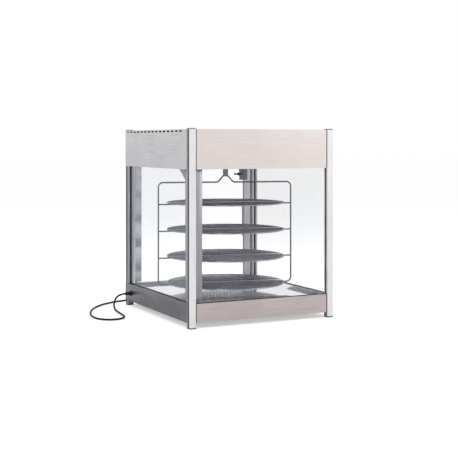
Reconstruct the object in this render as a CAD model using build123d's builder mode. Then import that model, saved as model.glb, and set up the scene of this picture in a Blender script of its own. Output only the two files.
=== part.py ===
"""Rotating heated display case: a countertop glass cabinet for hot food.

Four slotted aluminium posts carry a stainless header and base. Glass closes the front and
the sides, and a glass door closes the back. A wire rack with four round shelves hangs from
a geared motor in the header and turns inside. Millimetres. Z is up and the front faces -Y.
The origin lies on the floor, under the middle of the case and its door handle.
"""

import os
from math import copysign, cos, pi, radians, sin, sqrt, tan

from build123d import *

os.makedirs("parts", exist_ok=True)

# Overall sizes
case_width = 590.0
case_depth = 630.0
case_height = 704.0
handle_reach = 24.0

# Sheet metal and posts
sheet = 1.2
panel_flange = 6.5
panel_recess = 2.0
post_side = 25.0
post_corner = 2.0
slot_mouth = 8.0
slot_lip = 2.0
slot_chamber = 10.0
slot_depth = 6.5
post_bore = 5.4
face_groove = 1.2
face_groove_depth = 0.5
face_groove_offset = 6.5
cap_height = 4.0
foot_height = 4.0
plug_stem_length = 12.0
fit_gap = 0.1
seam_gap = 0.4

# Levels
base_bottom = 20.0
base_top = 87.0
deck_level = 77.0
header_height = 146.0
ceiling_rise = 4.0
header_drop = 5.0

# Glass and rubber
glass_thickness = 4.0
glass_seat = 5.5
glass_rise = 14.0
gasket_depth = 6.0
glass_gap = 0.1
sill_gasket = 1.5

# Ceiling pan and the warm air's openings
ceiling_lip = 16.0
intake_count = 4
intake_slot = 6.0
intake_length = 57.0
outlet_count = 14
outlet_pitch = 30.0
outlet_length = 20.0
outlet_width = 5.0
outlet_inset = 40.0

# Deck tray and its risers
deck_rim_radius = 3.0
riser_width = 24.0
riser_spacing = 320.0

# Vents in the side panels
vent_count = 15
vent_front_inset = 78.0
vent_rear_inset = 27.0
vent_length = 22.0
vent_height = 6.0
vent_drop = 5.5

# Wire rack
rack_angle = -13.0
rack_half_width = 264.0
rack_wire = 6.0
rung_wire = 5.6
rack_corner = 18.0
rack_drop = 59.0
shelf_count = 4
first_rung_level = 106.0
top_tier_height = 84.0
knee_reach = 31.0
knee_radius = 12.0
shoulder_reach = 5.0
shoulder_rise = 29.0
shoulder_radius = 3.0
rod_end_gap = 1.0
shelf_radius = 228.5
shelf_rim_height = 5.0
shelf_rim_thickness = 2.5
shelf_wire = 2.4
shelf_wire_pitch = 18.0
shelf_tie_wire = 3.0
shelf_tie_offset = 85.0

# Drive
hub_diameter = 20.5
hub_drop = 41.0
hub_gap = 6.0
shaft_diameter = 8.0
shaft_in_hub = 22.0
shaft_in_gearbox = 14.0
running_clearance = 0.05
bush_diameter = 16.0
bush_flange = 22.0
bush_flange_thickness = 2.0
bridge_length = 150.0
bridge_width = 66.0
bridge_rise = 24.0
bridge_foot = 18.0
gearbox_diameter = 62.0
gearbox_height = 24.0
motor_diameter = 50.0
motor_height = 32.0

# Fan
fan_x = 165.0
fan_side = 92.0
fan_height = 25.0
fan_bore = 86.0
fan_hub = 32.0
fan_blade_count = 7
fan_blade_pitch = 38.0
fan_tip_clearance = 1.5
fan_strut = 4.0
stator_height = 6.0
fan_pin = 4.0
blade_root_thickness = 2.0
blade_tip_thickness = 1.3

# Heaters
heater_x = 165.0
heater_length = 300.0
heater_leg_spacing = 70.0
heater_diameter = 8.0
heater_rise = 20.0
heater_support_spacing = 200.0

# Corner wiring duct
duct_side = 20.0
duct_inset = 3.5
duct_corner = 2.0
duct_sheet = 1.0
gusset_reach = 160.0
gusset_drop = 43.0

# Rear door
door_gap = 7.0
door_thickness = 19.0
door_setback = 3.0
door_clearance = 4.0
stile_width = 28.0
stile_corner = 1.5
door_glass_seat = 9.0
hinge_inset = 9.5
hinge_pin = 6.0
hinge_pin_reach = 14.0
hinge_collar = 13.0
handle_length = 140.0
handle_bar = 10.0
handle_standoff = 8.0
handle_inset = 14.0
bracket_inset = 46.8
bracket_width = 38.0
bracket_drop = 67.0
bracket_flange = 20.0
bracket_sheet = 1.5
magnet_width = 34.0
magnet_height = 14.0
magnet_thickness = 9.0
magnet_drop = 22.0
magnet_gap = 0.5
strike_thickness = 1.0
strike_overlap = 14.0

# Thermostat probe
probe_diameter = 5.0
probe_length = 44.0
probe_reach = 25.0
probe_drop = 42.0
clip_wall = 1.2
clip_width = 9.0

# Controls on the back of the header
control_rise = 70.0
knob_x = -150.0
knob_diameter = 38.0
knob_height = 16.0
knob_gap = 1.0
thermostat_width = 44.0
thermostat_height = 34.0
thermostat_depth = 26.0
spindle_diameter = 6.0
spindle_hole_gap = 1.0
knob_flutes = 12
knob_flute_radius = 2.7
knob_chamfer = 1.0
knob_mark_width = 2.0
knob_mark_length = 12.7
switch_xs = {"heat": -70.0, "rotation": -20.0}
switch_width = 22.0
switch_height = 30.0
switch_lip = 2.0
switch_wall = 2.0
switch_depth = 20.0
rocker_travel = 12.0
rocker_gap = 0.8
rocker_pin = 3.0

# Screws in the rear panels
screw_head = 7.0
screw_head_height = 2.2
screw_shank = 3.8
screw_length = 8.0
screw_inset = 12.0
screw_margin = 20.0

# Terminal block under the deck
block_inset = 55.0
block_width = 22.0
block_length = 60.0
block_height = 16.0
block_well = 6.0
block_well_depth = 4.0
block_well_pitch = 13.0
block_well_count = 4

# Cord
cord_diameter = 7.5
gland_inset = 65.0
gland_level = 53.0
gland_flange = 20.0
gland_flange_thickness = 4.0
gland_tip = 12.0
gland_length = 26.0
gland_step = 2.0
sleeve_wall = 1.0
coil_radius = 44.0
coil_turn_spacing = 9.5
coil_layer_spacing = 8.2
coil_half_turns = 2
plug_relief = 26.0
plug_length = 32.0
plug_width = 26.0
blade_length = 16.0
blade_width = 6.3
blade_thickness = 1.5
blade_spacing = 12.7
ground_pin = 4.8
ground_offset = 8.0
blade_root_length = 6.0
plug_neck_width = 18.2

# Planes that the sizes above settle
front_y = -(case_depth + handle_reach) / 2
back_y = front_y + case_depth
mid_y = front_y + case_depth / 2
side_x = case_width / 2
post_outer_x = side_x - sheet
post_x = post_outer_x - post_side / 2
post_inner_x = post_outer_x - post_side
front_post_y = front_y + post_side / 2
back_post_y = back_y - post_side / 2
front_inner_y = front_y + post_side
back_inner_y = back_y - post_side
post_top = case_height - cap_height
panel_top = case_height - header_drop
header_bottom = case_height - header_height
ceiling_level = header_bottom + ceiling_rise
ceiling_top = ceiling_level + sheet
control_level = header_bottom + control_rise
rack_top_level = header_bottom - rack_drop
shoulder_level = rack_top_level + shoulder_rise
rung_pitch = (rack_top_level - top_tier_height - first_rung_level) / (shelf_count - 1)
hub_bottom = ceiling_level - hub_drop
hub_top = ceiling_level - hub_gap
bracket_low = ceiling_level - bracket_drop
magnet_level = ceiling_level - magnet_drop
probe_level = ceiling_level - probe_drop
gland_y = back_y - gland_inset
vent_pitch = (case_depth - vent_front_inset - vent_rear_inset) / (vent_count - 1)
vent_middle_y = (front_y + vent_front_inset + back_y - vent_rear_inset) / 2
base_screws = [
    (x, z)
    for x in (screw_inset - post_inner_x, post_inner_x - screw_inset)
    for z in (base_bottom + screw_margin, base_top - screw_margin)
]
header_screws = [
    (x, z)
    for x in (screw_inset - post_inner_x, post_inner_x - screw_inset)
    for z in (header_bottom + screw_margin, panel_top - screw_margin)
]


def keep(shape, label):
    """Names a finished piece and writes its STEP file."""
    shape.label = label
    export_step(shape, f"parts/{label}.step")


def mirrored_pair(shape, left_label, right_label):
    """Keeps a piece made for the left side and its mirror image for the right."""
    keep(shape, left_label)
    keep(mirror(shape, about=Plane.YZ), right_label)


# Posts: slotted extrusions, open on both X faces and on the face towards the side glass
def slot_outline(direction):
    """One T-slot of the post's section, on the side that the angle gives."""
    with BuildSketch(mode=Mode.PRIVATE) as slot:
        with Locations((post_side / 2 - slot_lip / 2, 0)):
            Rectangle(slot_lip, slot_mouth)
        with Locations((post_side / 2 - (slot_lip + slot_depth) / 2, 0)):
            Rectangle(slot_depth - slot_lip, slot_chamber)
    return slot.sketch.rotate(Axis.Z, direction)


def make_post(x, y, inner_side):
    """A post, with its third slot on the side (+1 or -1 along Y) that faces the side glass."""
    with BuildPart() as post:
        with BuildSketch(Plane((x, y, foot_height))):
            RectangleRounded(post_side, post_side, post_corner)
            for direction in (0, 180, 90 * inner_side):
                add(slot_outline(direction), mode=Mode.SUBTRACT)
            Circle(post_bore / 2, mode=Mode.SUBTRACT)
            with Locations(
                (-face_groove_offset, -inner_side * (post_side - face_groove_depth) / 2),
                (face_groove_offset, -inner_side * (post_side - face_groove_depth) / 2),
            ):
                Rectangle(face_groove, face_groove_depth, mode=Mode.SUBTRACT)
        extrude(amount=post_top - foot_height)
    return post.part


for depth_name, y, inner_side in (("front", front_post_y, 1), ("rear", back_post_y, -1)):
    for side_name, x in (("left", -post_x), ("right", post_x)):
        keep(make_post(x, y, inner_side), f"{depth_name}_{side_name}_post")

post_centres = [(x, y) for x in (-post_x, post_x) for y in (front_post_y, back_post_y)]

with BuildPart() as post_caps:
    with BuildSketch(Plane.XY.offset(post_top)):
        with Locations(*post_centres):
            RectangleRounded(post_side, post_side, post_corner)
    extrude(amount=cap_height)
    chamfer(post_caps.faces().group_by(Axis.Z)[-1].edges(), length=cap_height / 4)
    with BuildSketch(Plane.XY.offset(post_top)):
        with Locations(*post_centres):
            Circle(post_bore / 2 - fit_gap)
    extrude(amount=-plug_stem_length)
keep(post_caps.part, "post_caps")

with BuildPart() as post_feet:
    with BuildSketch(Plane.XY):
        with Locations(*post_centres):
            RectangleRounded(post_side, post_side, post_corner)
    extrude(amount=foot_height)
    with BuildSketch(Plane.XY.offset(foot_height)):
        with Locations(*post_centres):
            Circle(post_bore / 2 - fit_gap)
    extrude(amount=plug_stem_length)
keep(post_feet.part, "post_feet")

# Rubber strips that close the posts' outer slots
with BuildPart() as slot_strips:
    with BuildSketch(Plane.XY.offset(foot_height)):
        for x, y in post_centres:
            outer_x = x + copysign(post_side / 2, x)
            with Locations((outer_x - copysign(slot_lip / 2, x), y)):
                Rectangle(slot_lip, slot_mouth - 2 * fit_gap)
            with Locations((outer_x - copysign(slot_lip * 1.5 + fit_gap / 2, x), y)):
                Rectangle(slot_lip - fit_gap, slot_chamber - 2 * fit_gap)
    extrude(amount=post_top - foot_height)
keep(slot_strips.part, "slot_strips")


# Header: folded sheet panels between the posts, outside them at the sides
def make_rail(y, outward, low, high, low_flange, high_flange):
    """A folded channel between two posts: its web at y, its flanges pointing inwards."""
    length = 2 * (post_inner_x - seam_gap)
    web_inner = y - outward * sheet
    with BuildPart() as rail:
        with BuildSketch(Plane.YZ.offset(-length / 2)):
            with BuildLine():
                Polyline(
                    (y, low),
                    (web_inner - outward * low_flange, low),
                    (web_inner - outward * low_flange, low + sheet),
                    (web_inner, low + sheet),
                    (web_inner, high - sheet),
                    (web_inner - outward * high_flange, high - sheet),
                    (web_inner - outward * high_flange, high),
                    (y, high),
                    close=True,
                )
            make_face()
        extrude(amount=length)
    return rail.part


def make_side_panel(low, high, top_flange, bottom_flange):
    """The left side's panel: a folded channel that laps over the rear post."""
    start_y = front_inner_y + seam_gap
    with BuildPart() as panel:
        with BuildSketch(Plane.XZ.offset(-start_y)):
            with BuildLine():
                Polyline(
                    (-side_x, low),
                    (-post_outer_x + bottom_flange, low),
                    (-post_outer_x + bottom_flange, low + sheet),
                    (-post_outer_x, low + sheet),
                    (-post_outer_x, high - sheet),
                    (-post_outer_x + top_flange, high - sheet),
                    (-post_outer_x + top_flange, high),
                    (-side_x, high),
                    close=True,
                )
            make_face()
        extrude(amount=-(back_y - start_y))
        with BuildSketch(Plane.XY.offset(low)):
            with Locations((-post_outer_x, back_y)):
                Rectangle(
                    post_side + seam_gap,
                    post_side + seam_gap,
                    align=(Align.MIN, Align.MAX),
                )
        extrude(amount=high - low, mode=Mode.SUBTRACT)
    return panel.part


broad_flange = post_side - panel_recess - sheet
front_fascia = make_rail(
    front_y + panel_recess, -1, header_bottom, panel_top, panel_flange, panel_flange
)
keep(front_fascia, "front_fascia")

vent_level = panel_top - vent_drop
with BuildPart() as left_header_panel:
    add(make_side_panel(header_bottom, panel_top, panel_flange, panel_flange))
    with BuildSketch(Plane.YZ.offset(-side_x)):
        with Locations((vent_middle_y, vent_level)):
            with GridLocations(vent_pitch, vent_height, vent_count, 1):
                SlotOverall(vent_length, vent_height)
    extrude(amount=sheet, mode=Mode.SUBTRACT)
mirrored_pair(left_header_panel.part, "left_header_panel", "right_header_panel")

rear_panel_y = back_y - panel_recess
with BuildPart() as rear_fascia:
    add(make_rail(rear_panel_y, 1, header_bottom, panel_top, broad_flange, panel_flange))
    with BuildSketch(Plane.XZ.offset(-rear_panel_y)):
        with Locations((knob_x, control_level)):
            Circle(spindle_diameter / 2 + spindle_hole_gap)
        with Locations(*[(x, control_level) for x in switch_xs.values()]):
            Rectangle(switch_width + 2 * fit_gap, switch_height + 2 * fit_gap)
        with Locations(*header_screws):
            Circle(screw_shank / 2 + fit_gap)
    extrude(amount=sheet, mode=Mode.SUBTRACT)
keep(rear_fascia.part, "rear_fascia")

post_notch = post_side + 2 * seam_gap
with BuildPart() as top_cover:
    with BuildSketch(Plane.XY.offset(panel_top)):
        with Locations((0, mid_y)):
            Rectangle(case_width, case_depth - 2 * panel_recess)
        with Locations(*post_centres):
            Rectangle(post_notch + 2 * sheet, post_notch + 2 * sheet, mode=Mode.SUBTRACT)
    extrude(amount=sheet)
keep(top_cover.part, "top_cover")

# Ceiling pan, with the drive hole, the fan's intake and the warm air's outlets
ceiling_half_x = post_x - glass_thickness / 2 - seam_gap
ceiling_front_y = front_post_y + glass_thickness / 2 + seam_gap
ceiling_back_y = back_inner_y - seam_gap
with BuildPart() as ceiling_pan:
    with BuildSketch(Plane.XY.offset(ceiling_level)) as ceiling_outline:
        with Locations((0, (ceiling_front_y + ceiling_back_y) / 2)):
            Rectangle(2 * ceiling_half_x, ceiling_back_y - ceiling_front_y)
        with Locations(*post_centres):
            Rectangle(post_notch, post_notch, mode=Mode.SUBTRACT)
    extrude(amount=ceiling_lip)
    offset(amount=-sheet, openings=ceiling_pan.faces().sort_by(Axis.Z)[-1])
    with BuildSketch(Plane.XY.offset(ceiling_level)):
        with Locations((0, mid_y)):
            Circle(bush_diameter / 2 + fit_gap)
        with Locations((fan_x, mid_y)):
            with GridLocations(2 * intake_slot, 1, intake_count, 1):
                Rectangle(intake_slot, intake_length)
        for outlet_x in (-ceiling_half_x + outlet_inset, ceiling_half_x - outlet_inset):
            with Locations((outlet_x, mid_y)):
                with GridLocations(1, outlet_pitch, 1, outlet_count):
                    Rectangle(outlet_width, outlet_length)
    extrude(amount=sheet, mode=Mode.SUBTRACT)
keep(ceiling_pan.part, "ceiling_pan")

# Base: folded panels, a polished deck tray and a bottom plate
with BuildPart() as left_base_panel:
    add(make_side_panel(base_bottom, base_top, post_side, panel_flange))
    with BuildSketch(Plane.YZ.offset(-side_x)):
        with Locations((gland_y, gland_level)):
            Circle(gland_tip / 2 + fit_gap)
    extrude(amount=sheet, mode=Mode.SUBTRACT)
keep(left_base_panel.part, "left_base_panel")
keep(
    mirror(make_side_panel(base_bottom, base_top, post_side, panel_flange), about=Plane.YZ),
    "right_base_panel",
)


front_base_panel = make_rail(
    front_y + panel_recess, -1, base_bottom, base_top, panel_flange, broad_flange
)
keep(front_base_panel, "front_base_panel")

with BuildPart() as rear_base_panel:
    add(make_rail(rear_panel_y, 1, base_bottom, base_top, panel_flange, broad_flange))
    with BuildSketch(Plane.XZ.offset(-rear_panel_y)):
        with Locations(*base_screws):
            Circle(screw_shank / 2 + fit_gap)
    extrude(amount=sheet, mode=Mode.SUBTRACT)
keep(rear_base_panel.part, "rear_base_panel")

deck_half_x = post_inner_x - seam_gap
deck_length = back_inner_y - front_inner_y - 2 * seam_gap
with BuildPart() as deck_tray:
    with BuildSketch(Plane.XY.offset(deck_level - sheet)):
        with Locations((0, mid_y)):
            RectangleRounded(2 * deck_half_x, deck_length, deck_rim_radius)
    extrude(amount=base_top - deck_level + sheet)
    offset(amount=-sheet, openings=deck_tray.faces().sort_by(Axis.Z)[-1])
keep(deck_tray.part, "deck_tray")

with BuildPart() as bottom_plate:
    with BuildSketch(Plane.XY.offset(base_bottom + sheet)):
        with Locations((0, mid_y)):
            Rectangle(
                2 * (post_outer_x - seam_gap),
                case_depth - 2 * (panel_recess + sheet + seam_gap),
            )
        with Locations(*post_centres):
            Rectangle(post_notch, post_notch, mode=Mode.SUBTRACT)
    extrude(amount=sheet)
keep(bottom_plate.part, "bottom_plate")

# Glass, held in the posts' slots by rubber channels
glass_low = base_top + sill_gasket
glass_high = header_bottom + glass_rise
front_glass_width = 2 * (post_inner_x + glass_seat)
side_glass_depth = back_inner_y - front_inner_y + 2 * glass_seat
with BuildPart() as front_glass:
    with BuildSketch(Plane.XY.offset(glass_low)):
        with Locations((0, front_post_y)):
            Rectangle(front_glass_width, glass_thickness)
    extrude(amount=glass_high - glass_low)
keep(front_glass.part, "front_glass")

with BuildPart() as left_glass:
    with BuildSketch(Plane.XY.offset(glass_low)):
        with Locations((-post_x, mid_y)):
            Rectangle(glass_thickness, side_glass_depth)
    extrude(amount=glass_high - glass_low)
mirrored_pair(left_glass.part, "left_side_glass", "right_side_glass")


def gasket_outline():
    """A rubber channel's section: its floor at the origin, open towards +X."""
    with BuildSketch(mode=Mode.PRIVATE) as channel:
        Rectangle(gasket_depth, slot_mouth - 2 * fit_gap, align=(Align.MAX, Align.CENTER))
        Rectangle(
            glass_seat + glass_gap,
            glass_thickness + 2 * glass_gap,
            align=(Align.MAX, Align.CENTER),
            mode=Mode.SUBTRACT,
        )
    return channel.sketch


with BuildPart() as glass_gaskets:
    with BuildSketch(Plane.XY.offset(glass_low)):
        for x_sign, turn in ((-1, 0), (1, 180)):
            channel = gasket_outline()
            add(channel.rotate(Axis.Z, turn).translate((x_sign * post_inner_x, front_post_y, 0)))
            add(channel.rotate(Axis.Z, 90).translate((x_sign * post_x, front_inner_y, 0)))
            add(channel.rotate(Axis.Z, -90).translate((x_sign * post_x, back_inner_y, 0)))
    extrude(amount=glass_high - glass_low)
    with BuildSketch(Plane.XY.offset(base_top)):
        with Locations((0, front_post_y)):
            Rectangle(2 * (post_inner_x - seam_gap), slot_mouth)
        with Locations((-post_x, mid_y), (post_x, mid_y)):
            Rectangle(slot_mouth, back_inner_y - front_inner_y - 2 * seam_gap)
    extrude(amount=sill_gasket - fit_gap)
keep(glass_gaskets.part, "glass_gaskets")

# Wiring duct in the front left corner, with its gusset under the header
duct_x = -post_inner_x + duct_inset + duct_side / 2
duct_y = front_inner_y + duct_inset + duct_side / 2
duct_back_y = duct_y + duct_side / 2
with BuildPart() as wiring_duct:
    with BuildSketch(Plane.XY.offset(deck_level)):
        with Locations((duct_x, duct_y)):
            RectangleRounded(duct_side, duct_side, duct_corner)
            RectangleRounded(
                duct_side - 2 * duct_sheet,
                duct_side - 2 * duct_sheet,
                duct_corner - duct_sheet,
                mode=Mode.SUBTRACT,
            )
    extrude(amount=ceiling_level - deck_level)
    with BuildSketch(Plane.YZ.offset(duct_x - duct_side / 2)):
        with BuildLine():
            Polyline(
                (duct_back_y - duct_corner, ceiling_level),
                (front_y + gusset_reach, ceiling_level),
                (duct_back_y, ceiling_level - gusset_drop),
                (duct_back_y - duct_corner, ceiling_level - gusset_drop),
                close=True,
            )
        make_face()
    extrude(amount=duct_sheet)
keep(wiring_duct.part, "wiring_duct")

# Deck risers between the bottom plate and the deck tray
riser_low = base_bottom + 2 * sheet
riser_high = deck_level - sheet
with BuildPart() as deck_risers:
    with BuildSketch(Plane.XZ.offset(-(mid_y - deck_length / 2 + post_side))):
        for riser_x in (-riser_spacing / 2, riser_spacing / 2):
            with Locations((riser_x, (riser_low + riser_high) / 2)):
                Rectangle(riser_width, riser_high - riser_low)
                Rectangle(
                    riser_width - 2 * sheet, riser_high - riser_low - 2 * sheet, mode=Mode.SUBTRACT
                )
    extrude(amount=-(deck_length - 2 * post_side))
keep(deck_risers.part, "deck_risers")

# Rack: one closed wire frame, turned to the angle at which the rack stands
rack_plane = Plane((0, mid_y, 0)).rotated((0, 0, rack_angle))
frame_plane = Plane(
    origin=(0, mid_y, 0), x_dir=rack_plane.x_dir, z_dir=-rack_plane.y_dir
)
with BuildPart() as rack_frame:
    with BuildLine(frame_plane) as frame_path:
        FilletPolyline(
            (0, first_rung_level),
            (rack_half_width, first_rung_level),
            (rack_half_width, rack_top_level),
            (knee_reach, rack_top_level),
            (shoulder_reach, shoulder_level),
            (0, shoulder_level),
            radius=[rack_corner, rack_corner, knee_radius, shoulder_radius],
        )
    wire_start = frame_path.line @ 0
    with BuildSketch(Plane(wire_start, z_dir=frame_path.line % 0)):
        Circle(rack_wire / 2)
    sweep()
    mirror(about=Plane(origin=(0, mid_y, 0), z_dir=rack_plane.x_dir))
    for rung in range(1, shelf_count):
        rung_level = first_rung_level + rung * rung_pitch
        with BuildSketch(
            Plane((0, mid_y, rung_level), x_dir=(0, 0, 1), z_dir=rack_plane.x_dir)
        ):
            Circle(rung_wire / 2)
        extrude(amount=rack_half_width, both=True)
keep(rack_frame.part, "rack_frame")


# Shelves: welded mesh inside a flat rim
def make_shelf(bottom):
    """One round shelf with its underside at the given level."""
    wire_offsets = int((shelf_radius - shelf_rim_thickness) / shelf_wire_pitch)
    with BuildPart() as shelf:
        with BuildSketch(Plane((0, mid_y, bottom), x_dir=rack_plane.x_dir)):
            for step in range(-wire_offsets, wire_offsets + 1):
                offset_y = step * shelf_wire_pitch
                half_chord = sqrt((shelf_radius - shelf_rim_thickness / 2) ** 2 - offset_y**2)
                with Locations((0, offset_y)):
                    Rectangle(2 * half_chord, shelf_wire)
            for offset_x in (-shelf_tie_offset, shelf_tie_offset):
                half_chord = sqrt((shelf_radius - shelf_rim_thickness / 2) ** 2 - offset_x**2)
                with Locations((offset_x, 0)):
                    Rectangle(shelf_tie_wire, 2 * half_chord)
        extrude(amount=shelf_wire)
        with BuildSketch(Plane((0, mid_y, bottom), x_dir=rack_plane.x_dir)):
            Circle(shelf_radius)
            Circle(shelf_radius - shelf_rim_thickness, mode=Mode.SUBTRACT)
        extrude(amount=shelf_rim_height)
    return shelf.part


for number in range(shelf_count):
    carrier = rung_wire if number else rack_wire
    shelf_bottom = first_rung_level + number * rung_pitch + carrier / 2
    keep(make_shelf(shelf_bottom), f"shelf_{number + 1}")

# Hub: round stub with a domed lower end, bored for the shaft and drilled for the rack's wire
with BuildPart() as rack_hub:
    with BuildSketch(Plane.XY.offset(hub_bottom)):
        with Locations((0, mid_y)):
            Circle(hub_diameter / 2)
    extrude(amount=hub_top - hub_bottom)
    fillet(rack_hub.faces().sort_by(Axis.Z)[0].edges(), radius=hub_diameter / 5)
    with BuildSketch(Plane.XY.offset(hub_top)):
        with Locations((0, mid_y)):
            Circle(shaft_diameter / 2)
    extrude(amount=-shaft_in_hub, mode=Mode.SUBTRACT)
    add(rack_frame.part, mode=Mode.SUBTRACT)
keep(rack_hub.part, "rack_hub")

# Drive: the shaft hangs from the gearbox through a bush in the ceiling
bridge_top = ceiling_top + bridge_rise
shaft_low = hub_top - shaft_in_hub
shaft_high = bridge_top + shaft_in_gearbox
with BuildPart() as drive_shaft:
    with BuildSketch(Plane.XY.offset(shaft_low)):
        with Locations((0, mid_y)):
            Circle(shaft_diameter / 2)
    extrude(amount=shaft_high - shaft_low)
keep(drive_shaft.part, "drive_shaft")

with BuildPart() as ceiling_bush:
    with BuildSketch(Plane.XY.offset(ceiling_level - bush_flange_thickness)):
        with Locations((0, mid_y)):
            Circle(bush_flange / 2)
    extrude(amount=bush_flange_thickness)
    with BuildSketch(Plane.XY.offset(ceiling_level)):
        with Locations((0, mid_y)):
            Circle(bush_diameter / 2)
    extrude(amount=sheet + bush_flange_thickness)
    with BuildSketch(Plane.XY.offset(ceiling_level - bush_flange_thickness)):
        with Locations((0, mid_y)):
            Circle(shaft_diameter / 2 + running_clearance)
    extrude(amount=sheet + 2 * bush_flange_thickness, mode=Mode.SUBTRACT)
keep(ceiling_bush.part, "ceiling_bush")

with BuildPart() as motor_bridge:
    with BuildSketch(Plane.XZ.offset(-(mid_y - bridge_width / 2))):
        with BuildLine():
            Polyline(
                (-bridge_length / 2 - bridge_foot, ceiling_top),
                (-bridge_length / 2 + sheet, ceiling_top),
                (-bridge_length / 2 + sheet, bridge_top - sheet),
                (bridge_length / 2 - sheet, bridge_top - sheet),
                (bridge_length / 2 - sheet, ceiling_top),
                (bridge_length / 2 + bridge_foot, ceiling_top),
                (bridge_length / 2 + bridge_foot, ceiling_top + sheet),
                (bridge_length / 2, ceiling_top + sheet),
                (bridge_length / 2, bridge_top),
                (-bridge_length / 2, bridge_top),
                (-bridge_length / 2, ceiling_top + sheet),
                (-bridge_length / 2 - bridge_foot, ceiling_top + sheet),
                close=True,
            )
        make_face()
    extrude(amount=-bridge_width)
    with BuildSketch(Plane.XY.offset(bridge_top)):
        with Locations((0, mid_y)):
            Circle(shaft_diameter)
    extrude(amount=-sheet, mode=Mode.SUBTRACT)
keep(motor_bridge.part, "motor_bridge")

with BuildPart() as gearmotor:
    with BuildSketch(Plane.XY.offset(bridge_top)):
        with Locations((0, mid_y)):
            RectangleRounded(gearbox_diameter, gearbox_diameter - shaft_diameter, gearbox_diameter / 6)
    extrude(amount=gearbox_height)
    with BuildSketch(Plane.XY.offset(bridge_top + gearbox_height)):
        with Locations((0, mid_y)):
            Circle(motor_diameter / 2)
    extrude(amount=motor_height)
    fillet(gearmotor.faces().sort_by(Axis.Z)[-1].edges(), radius=motor_diameter / 20)
    with BuildSketch(Plane.XY.offset(bridge_top)):
        with Locations((0, mid_y)):
            Circle(shaft_diameter / 2 + running_clearance)
    extrude(amount=shaft_in_gearbox, mode=Mode.SUBTRACT)
keep(gearmotor.part, "gearmotor")

# Fan: a square housing, a stator on struts and a bladed wheel that runs on its pin
wheel_level = ceiling_top + stator_height + fan_tip_clearance
wheel_height = fan_height - stator_height - 2 * fan_tip_clearance
with BuildPart() as fan_housing:
    with BuildSketch(Plane.XY.offset(ceiling_top)):
        with Locations((fan_x, mid_y)):
            RectangleRounded(fan_side, fan_side, fan_strut)
            Circle(fan_bore / 2, mode=Mode.SUBTRACT)
    extrude(amount=fan_height)
    with BuildSketch(Plane.XY.offset(ceiling_top)):
        with Locations((fan_x, mid_y)):
            Circle(fan_hub / 2)
            with PolarLocations((fan_bore + fan_hub / 2) / 4, 4, start_angle=45):
                Rectangle(fan_bore / 2 - fan_hub / 4 + fan_strut / 2, fan_strut)
    extrude(amount=stator_height)
    with BuildSketch(Plane.XY.offset(ceiling_top)):
        with Locations((fan_x, mid_y)):
            Circle(fan_pin / 2)
    extrude(amount=stator_height + wheel_height - fan_strut)
keep(fan_housing.part, "fan_housing")

blade_root = fan_hub / 2 - fan_strut / 4
blade_tip = fan_bore / 2 - fan_tip_clearance
blade_height = wheel_height - fan_strut / 2
blade_chord = blade_height / sin(radians(fan_blade_pitch))
with BuildPart() as fan_wheel:
    with BuildSketch(Plane.XY.offset(wheel_level)):
        with Locations((fan_x, mid_y)):
            Circle(fan_hub / 2)
    extrude(amount=wheel_height)
    for blade in range(fan_blade_count):
        blade_angle = radians(360 * blade / fan_blade_count)
        root_plane = Plane(
            origin=(
                fan_x + blade_root * cos(blade_angle),
                mid_y + blade_root * sin(blade_angle),
                wheel_level + wheel_height / 2,
            ),
            x_dir=(-sin(blade_angle), cos(blade_angle), 0),
            z_dir=(cos(blade_angle), sin(blade_angle), 0),
        )
        with BuildSketch(root_plane):
            SlotOverall(blade_chord * 0.8, blade_root_thickness, fan_blade_pitch)
        with BuildSketch(root_plane.offset(blade_tip - blade_root - blade_root_thickness)):
            SlotOverall(blade_chord, blade_tip_thickness, fan_blade_pitch * 0.7)
        loft()
    with BuildSketch(Plane.XY.offset(wheel_level)):
        with Locations((fan_x, mid_y)):
            Circle(fan_pin / 2 + running_clearance)
    extrude(amount=wheel_height - fan_strut / 2, mode=Mode.SUBTRACT)
keep(fan_wheel.part, "fan_wheel")

# Heater: a bent sheathed element on two plates with holes
heater_level = ceiling_top + heater_rise
heater_half_leg = heater_leg_spacing / 2
with BuildPart() as heater_element:
    with BuildLine() as heater_path:
        FilletPolyline(
            (-heater_x - heater_half_leg, mid_y - heater_length / 2, heater_level),
            (-heater_x - heater_half_leg, mid_y + heater_length / 2, heater_level),
            (-heater_x + heater_half_leg, mid_y + heater_length / 2, heater_level),
            (-heater_x + heater_half_leg, mid_y - heater_length / 2, heater_level),
            radius=heater_half_leg - 0.1,
        )
    with BuildSketch(Plane(heater_path.line @ 0, z_dir=heater_path.line % 0)):
        Circle(heater_diameter / 2)
    sweep()
keep(heater_element.part, "heater_element")

with BuildPart() as heater_supports:
    for support_y in (mid_y - heater_support_spacing / 2, mid_y + heater_support_spacing / 2):
        with BuildSketch(Plane.XZ.offset(-support_y)):
            with Locations((-heater_x, (ceiling_top + heater_level + heater_diameter) / 2)):
                Rectangle(
                    heater_leg_spacing + 3 * heater_diameter,
                    heater_level + heater_diameter - ceiling_top,
                )
            with Locations(
                (-heater_x - heater_half_leg, heater_level), (-heater_x + heater_half_leg, heater_level)
            ):
                Circle(heater_diameter / 2 + fit_gap, mode=Mode.SUBTRACT)
        extrude(amount=bracket_sheet)
        with BuildSketch(Plane.XY.offset(ceiling_top)):
            with Locations((-heater_x, support_y)):
                Rectangle(
                    heater_leg_spacing + 3 * heater_diameter,
                    heater_diameter,
                    align=(Align.CENTER, Align.MAX),
                )
        extrude(amount=bracket_sheet)
keep(heater_supports.part, "heater_supports")

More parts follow.
